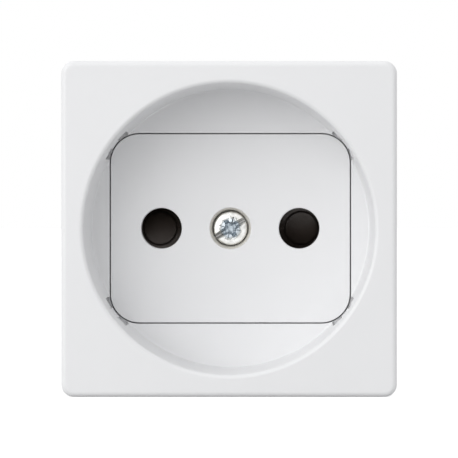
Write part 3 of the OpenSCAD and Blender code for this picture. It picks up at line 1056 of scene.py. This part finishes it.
@dataclass(frozen=True)
class PinFace(Piece):
    """The rectangle with the pin holes, the screw's well and the boss that the shutter turns on."""

    node: str = "pin_face"
    slot: Slot = Slot.WHITE_PLASTIC
    # Its well has painted shade and dirt.
    finish: Finish | None = WHITE_WITH_WELL_SHADE_AND_DIRT
    plate: Triple = (32.96, 25.96, 3.93)
    edge: float = 0.06
    rim: Triple = (30.3, 23.3, 2.6)
    rim_wall: float = 1.0
    rim_gap: float = 0.1
    overlap: float = 0.5
    pin_x: float = 9.5
    pin_hole_r: float = 2.8
    mouth: float = 0.16
    well_r: float = 2.875
    well_foot_r: float = 2.43
    cone_foot: float = -6.35
    boss_r: float = 3.895
    boss_edge: float = 0.2
    screw_hole_r: float = 1.45
    peg_r: float = 0.8
    peg_edge: float = 0.15
    peg_ring_r: float = 8.0
    peg_end: float = -8.825
    peg_angles: tuple[float, ...] = (90.0, -30.9, 250.9)

    def blank(self) -> Workpiece:
        """Makes the plate with its centring rim, boss and pegs.

        Returns:
            The pin face without its holes.
        """
        w, h, r = self.rim
        t, rise = self.rim_wall, LEVELS.flange + self.overlap
        blank = Workpiece().slab(*self.plate, LEVELS.flange, LEVELS.floor)
        blank.round_rim(LEVELS.floor, self.edge, segments=3)
        ring = Workpiece().slab(w, h, r, LEVELS.ledge + self.rim_gap, rise)
        low, high = LEVELS.ledge - OVER, LEVELS.flange + OVER
        ring.cut(Workpiece().slab(w - 2 * t, h - 2 * t, r - t, low, high))
        blank.fused(
            ring, self.pillar(self.boss_r, LEVELS.boss_end, self.boss_edge, segments=4, steps=96)
        )
        for angle in self.peg_angles:
            peg = self.pillar(self.peg_r, self.peg_end, self.peg_edge, segments=3, steps=24)
            blank.fused(peg.moved(self.peg_ring_r, degrees=angle))
        return blank

    def pillar(self, r: float, end: float, edge: float, segments: int, steps: int) -> Workpiece:
        """Makes a pillar with a rounded end, which reaches into the plate.

        Args:
            r: Radius.
            end: Height of the end.
            edge: Radius of the end's rounding.
            segments: Steps of the rounding.
            steps: Steps round the pillar.

        Returns:
            The pillar.
        """
        rise = LEVELS.flange + self.overlap
        foot = arc((r - edge, end + edge), edge, -90.0, 0.0, segments)
        return Workpiece().spun([(0.0, end), *foot, (r, rise), (0.0, rise)], steps)

    def pin_hole(self, x: float) -> Workpiece:
        """Makes the cut of a pin hole with a rounded mouth.

        Args:
            x: Place of the hole.

        Returns:
            The cut.
        """
        r, m = self.pin_hole_r, self.mouth
        low, high = LEVELS.flange - OVER, LEVELS.floor + OVER
        mouth = arc((r + m, LEVELS.floor - m), m, 180.0, 90.0, steps=6)
        profile = [(0.0, low), (r, low), *mouth, (r + m, high), (0.0, high)]
        return Workpiece().spun(profile, steps=96).moved(x)

    def well(self) -> Workpiece:
        """Makes the cut of the tapered well and of the screw's hole under it.

        Returns:
            The cut.
        """
        r, foot, m = self.screw_hole_r, self.well_foot_r, self.edge
        low, high = LEVELS.boss_end - OVER, LEVELS.floor + OVER
        profile = [(0.0, low), (r, low), (r, LEVELS.well), (foot, LEVELS.well)]
        profile += [(foot, self.cone_foot)]
        profile += arc((self.well_r + m, LEVELS.floor - m), m, 180.0, 90.0, steps=5)
        profile += [(self.well_r + m, high), (0.0, high)]
        return Workpiece().spun(profile, steps=128)

    def work(self) -> Workpiece:
        """Makes the pin face with its holes and well."""
        return self.blank().cut(self.pin_hole(-self.pin_x), self.pin_hole(self.pin_x), self.well())


@dataclass(frozen=True)
class DrivenScrew:
    """A screw with a slot and a cross in its domed head, and a rolled thread."""

    head_d: float
    side_h: float
    dome_h: float
    shank_d: float
    shank_l: float
    cross_l: float
    pitch: float
    turn: float
    slot_w: float = 0.72
    slot_depth: float = 1.0
    slot_mouth: float = 1.45
    slot_foot: float = 0.3
    cross_depth: float = 1.15
    cross_foot: float = 0.6
    cross_taper: float = 0.5
    cross_over: float = 0.1
    pit_depth: float = 0.5
    pit_r: float = 0.24
    pit_mouth_r: float = 0.3
    tick_l: float = 1.08
    tick_mouth: float = 0.2
    tick_foot: float = 0.04
    tick_depth: float = 0.22
    tick_fall: float = 0.24
    tip: float = 0.3
    shoulder: float = 0.22
    lean: float = 11.0
    under_edge: float = 0.12
    broken_edge: float = 0.09
    core_depth: float = 0.55
    thread_depth: float = 0.62
    thread_crest: float = 0.06
    thread_root: float = 0.4
    thread_gap: float = 0.02
    run_out: float = 0.8

    def head(self) -> Workpiece:
        """Makes the head and the core of the shank in one turn.

        Returns:
            The head without its drive.
        """
        half, top, s = self.head_d / 2, self.side_h + self.dome_h, self.shoulder
        lean, m, end = math.radians(self.lean), self.under_edge, -self.shank_l
        crown_r = (half - s + s * math.sin(lean)) / math.sin(lean)
        shoulder_z = top - crown_r * (1 - math.cos(lean)) - s * math.cos(lean)
        core = self.shank_d / 2 - self.core_depth * self.pitch
        profile = [(0.0, end), (core - self.tip / 2, end), (core, end + self.tip)]
        profile += [(core, 0.0), (half - m, 0.0), (half, m)]
        profile += arc((half - s, shoulder_z), s, 0.0, 90.0 - self.lean, steps=10)
        profile += arc((0.0, top - crown_r), crown_r, 90.0 - self.lean, 90.0, steps=10)[1:]
        return Workpiece().spun(profile, steps=128)

    def drive_slot(self) -> Workpiece:
        """Makes the cut of the slot, a little wider at its mouth."""
        top, w = self.side_h + self.dome_h, self.slot_w
        return Workpiece().trough(
            2 * self.head_d, w * self.slot_mouth, w * self.slot_foot, top - self.slot_depth, top
        )

    def cross(self) -> list[Workpiece]:
        """Makes the cuts of the tapered cross and of the four fine ticks between its arms.

        Returns:
            The cuts.
        """
        top, long, wide = self.side_h + self.dome_h, self.cross_l, self.slot_w
        foot, high = top - self.cross_depth, top + self.cross_over
        cuts = []
        for quarter in (0.0, 90.0):
            arm = Workpiece().trough(
                long, wide, wide * self.cross_foot, foot, high, self.cross_taper
            )
            cuts.append(arm.moved(degrees=quarter))
        pit = [(0.0, foot), (self.pit_r * long, top - self.pit_depth)]
        pit += [(self.pit_mouth_r * long, high), (0.0, high)]
        cuts.append(Workpiece().spun(pit, steps=24))
        low = top - self.tick_fall * self.dome_h - self.tick_depth
        for quarter in (45.0, 135.0):
            tick = Workpiece().trough(
                self.tick_l * long, self.tick_mouth, self.tick_foot, low, high
            )
            cuts.append(tick.moved(degrees=quarter))
        return cuts

    def thread(self) -> Workpiece:
        """Winds the thread as a ridge round the shank.

        Returns:
            The ridge.
        """
        p, low, r = self.pitch, -self.shank_l + self.tip, self.shank_d / 2
        crest, root = r - self.thread_gap, r - self.thread_depth * p
        turns = math.floor((self.shank_l - self.tip - self.run_out * p) / p)
        ridge = [(root, low - self.thread_root * p), (crest, low - self.thread_crest * p)]
        ridge += [(crest, low + self.thread_crest * p), (root, low + self.thread_root * p)]
        return Workpiece().wound(ridge, turns, p)

    def work(self) -> Workpiece:
        """Makes the whole screw with its underside at height 0.

        Returns:
            The screw.
        """
        head = self.head().cut(self.drive_slot(), *self.cross())
        head.soften(self.broken_edge, segments=3, degrees=50.0).moved(degrees=self.turn)
        return head.joined(self.thread())


@dataclass(frozen=True)
class CentreScrew(Piece):
    """The screw that holds the whole socket together."""

    node: str = "centre_screw"
    slot: Slot = Slot.ZINC_STEEL
    finish: Finish | None = SHADED_AND_WORN_ZINC
    screw: DrivenScrew = DrivenScrew(
        head_d=4.65, side_h=1.1, dome_h=0.7, shank_d=2.5, shank_l=10.0, cross_l=3.0, pitch=0.45,
        turn=31.0,
    )

    def work(self) -> Workpiece:
        """Makes the screw, with its head in the well."""
        return self.screw.work().moved(z=LEVELS.well)


@dataclass(frozen=True)
class Shutter(Piece):
    """The turning shutter, with a round moulding mark in each pad's ramp."""

    node: str = "shutter"
    slot: Slot = Slot.SHUTTER_PLASTIC
    softened: float = 0.12
    body: Body | None = Body.SHUTTER
    ring_x: float = 9.8
    ring_inner: float = 2.18
    ring_outer: float = 2.46
    ring_depth: float = 0.6
    ring_reach: float = 4.0
    ramp_mid: float = -8.15
    ramp_slope: float = 3.1 / 5.4

    def ring(self, side: Side) -> Workpiece:
        """Makes the cut of the round moulding mark in a pad, as deep everywhere as the ramp falls.

        Args:
            side: The turn that takes the mark to its pad.

        Returns:
            The cut.
        """
        low, high = self.ramp_mid - self.ring_reach, self.ramp_mid + self.ring_reach
        inner, outer = self.ring_inner, self.ring_outer
        profile = [(inner, low), (outer, low), (outer, high), (inner, high)]
        mark = Workpiece().spun(profile, steps=64, closed=True)
        bmesh.ops.bisect_plane(
            mark.bm, geom=[*mark.bm.verts, *mark.bm.edges, *mark.bm.faces], clear_inner=True,
            plane_co=(0, 0, self.ramp_mid - self.ring_depth), plane_no=(0, -self.ramp_slope, 1),
        )
        rim = [e for e in mark.bm.edges if e.is_boundary]
        bmesh.ops.bridge_loops(mark.bm, edges=rim)
        bmesh.ops.recalc_face_normals(mark.bm, faces=mark.bm.faces)
        return mark.moved(self.ring_x).moved(degrees=side.value)

    def work(self) -> Workpiece:
        """Makes the shutter from its solid."""
        return super().work().cut(self.ring(Side.RIGHT), self.ring(Side.LEFT))


@dataclass(frozen=True)
class ReturnSpring(Piece):
    """The torsion spring round the shutter's hub, which winds up as the shutter turns."""

    node: str = "shutter_spring"
    slot: Slot = Slot.SPRING_STEEL
    body: Body | None = None
    sharp_degrees: float = 60.0
    near_y: float = 0.0085
    far_y: float = 0.0097

    def build(self, finishes: Finishes) -> bpy.types.Object:
        """Dresses the spring and bakes its place into its mesh.

        Args:
            finishes: The materials.

        Returns:
            The finished piece.
        """
        piece = super().build(finishes)
        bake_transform(piece)
        return piece


@dataclass(frozen=True)
class Housing(Piece):
    """The base, with the sunk panel and the ejector marks that its mould leaves on the back."""

    node: str = "base"
    slot: Slot = Slot.GREY_PLASTIC
    softened: float = 0.15
    panel: Triple = (23.0, 27.0, 1.5)
    panel_depth: float = 0.35
    panel_edge: float = 0.2
    mark_r: float = 1.7
    mark_depth: float = 0.15
    mark_place: Pair = (8.4, 10.4)

    def mark(self, x: float, y: float) -> Workpiece:
        """Makes the cut of a round ejector mark in the panel."""
        top = LEVELS.back + self.panel_depth + self.mark_depth
        return Workpiece().disc(self.mark_r, LEVELS.back - OVER, top, steps=48).moved(x, y)

    def work(self) -> Workpiece:
        """Makes the base from its solid.

        Returns:
            The base.
        """
        (x, y), top = self.mark_place, LEVELS.back + self.panel_depth
        panel = Workpiece().slab(*self.panel, LEVELS.back - OVER, top)
        panel.round_rim(top, self.panel_edge, segments=3)
        marks = (self.mark(i * x, j * y) for i in (-1, 1) for j in (-1, 1))
        return super().work().cut(panel, *marks)


@dataclass(frozen=True)
class TerminalScrew(Piece):
    """The screw that presses the clamp plate of one pole on its wires."""

    slot: Slot = Slot.ZINC_STEEL
    side: Side = Side.RIGHT
    clamp_x: float = 18.0
    height: float = -18.5
    screw: DrivenScrew = DrivenScrew(
        head_d=6.0, side_h=1.5, dome_h=0.4, shank_d=3.5, shank_l=5.3, cross_l=3.6, pitch=0.6,
        turn=20.0,
    )

    def work(self) -> Workpiece:
        """Makes the screw, lying across the socket.

        Returns:
            The screw.
        """
        side = Matrix.Rotation(math.radians(self.side.value), 4, "Z")
        place = Matrix.Translation((self.clamp_x, 0, self.height))
        return self.screw.work().turned(side @ place @ Matrix.Rotation(math.radians(90), 4, "Y"))


CARRIED: tuple[Piece, ...] = (
    Piece("retaining_washer", Slot.SPRING_STEEL, softened=0.05),
    Piece("contact_cover", Slot.GREY_PLASTIC, softened=0.12),
    Piece("threaded_bush", Slot.BUSH_BRASS, softened=0.1),
    Piece("contact_left", Slot.CONTACT_BRONZE, softened=0.08),
    Piece("contact_right", Slot.CONTACT_BRONZE, softened=0.08),
    Piece("grip_band_left", Slot.SPRING_STEEL, softened=0.05),
    Piece("grip_band_right", Slot.SPRING_STEEL, softened=0.05),
    Piece("clamp_plate_left", Slot.ZINC_STEEL, softened=0.1),
    Piece("clamp_plate_right", Slot.ZINC_STEEL, softened=0.1),
)


# Stage


@dataclass(frozen=True)
class Studio:
    """Camera, lamp, floor and surroundings; foot, distance and floor_z are in millimetres."""

    foot: Pair = (6.0, 3.0)
    distance: float = 404.0
    lens: float = 237.4
    sensor: float = 36.0
    clip: Pair = (0.01, 20.0)
    key_watts: float = 8.3
    key_size: float = 1.15
    key_place: Triple = (-0.68, -0.88, 0.19)
    ambient: float = 0.81
    ambient_tint: Colour = (0.994, 0.998, 1.007)
    floor_z: float = -22.5
    floor_half: float = 3.0
    floor_grey: float = 0.5
    floor_glow: float = 0.75

    def camera(self) -> None:
        """Makes the camera at the photo's viewpoint, shifted to frame the plate as it does."""
        data = bpy.data.cameras.new("viewpoint")
        data.lens, data.sensor_width = self.lens, self.sensor
        data.clip_start, data.clip_end = self.clip
        across = self.sensor / self.lens * self.distance
        x, z = self.foot
        data.shift_x, data.shift_y = -x / across, -z / across
        cam = bpy.data.objects.new("viewpoint", data)
        cam.location = (x * MM, -(LEVELS.face + self.distance) * MM, z * MM)
        cam.rotation_euler = (math.radians(90), 0, 0)
        bpy.context.scene.collection.objects.link(cam)
        bpy.context.scene.camera = cam

    def lamp(self) -> None:
        """Hangs one large soft lamp at the upper left."""
        data = bpy.data.lights.new("softbox", "AREA")
        data.shape, data.size, data.energy = "SQUARE", self.key_size, self.key_watts
        lamp = bpy.data.objects.new("softbox", data)
        lamp.location = self.key_place
        lamp.rotation_euler = (-Vector(self.key_place)).to_track_quat("-Z", "Y").to_euler()
        bpy.context.scene.collection.objects.link(lamp)

    def surroundings(self) -> None:
        """Soft light from all around; the camera and reflections see plain white."""
        world = bpy.data.worlds.new("white_room")
        bpy.context.scene.world = world
        world.use_nodes = True
        room = Tree(world.node_tree)
        back = room.tree.nodes["Background"]
        light = (*(share * self.ambient for share in self.ambient_tint), 1.0)
        mix = room.node("Mix", {"A": light, "B": WHITE}, data_type="RGBA")
        plain = room.seen_by("Camera", "Glossy", "Transmission")
        room.wire((*plain, mix, "Factor"), (mix, "Result", back, "Color"))
        back.inputs["Strength"].default_value = 1.0

    def floor(self) -> None:
        """Lays a plain pale floor under the plate."""
        work = bmesh.new()
        bmesh.ops.create_grid(work, x_segments=1, y_segments=1, size=self.floor_half)
        bmesh.ops.translate(work, vec=(0, 0, self.floor_z * MM), verts=work.verts)
        mesh = bpy.data.meshes.new("floor")
        work.to_mesh(mesh)
        work.free()
        plane = bpy.data.objects.new("floor", mesh)
        bpy.context.scene.collection.objects.link(plane)
        grey = (self.floor_grey, self.floor_grey, self.floor_grey, 1.0)
        s = Surface(
            "pale_floor", Roughness=0.9, Specular_IOR_Level=0.1, Base_Color=grey,
            Emission_Color=WHITE,
        )
        glow = s.node("Math", {1: self.floor_glow}, operation="MULTIPLY")
        s.wire(
            (*s.seen_by("Camera", "Glossy"), glow, 0),
            (glow, "Value", s.shader, "Emission Strength"),
        )
        mesh.materials.append(s.material)

    def build(self) -> None:
        """Sets up the whole stage."""
        bpy.context.scene.view_settings.view_transform = "Standard"
        self.camera()
        self.lamp()
        self.surroundings()
        self.floor()


def main() -> None:
    """Builds the stage and every sub-assembly, and reports each piece."""
    logging.basicConfig(level=logging.INFO, format="%(message)s")
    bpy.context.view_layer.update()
    Studio().build()
    finishes = Finishes()
    parts = (
        FrontCover(), PinFace(), CentreScrew(), Shutter(), ReturnSpring(), Housing(),
        TerminalScrew("terminal_screw_left", side=Side.LEFT),
        TerminalScrew("terminal_screw_right", side=Side.RIGHT), *CARRIED,
    )
    for part in parts:
        piece = part.build(finishes)
        log.info("%s: %d faces", piece.name, len(piece.data.polygons))


if __name__ == "__main__":
    main()
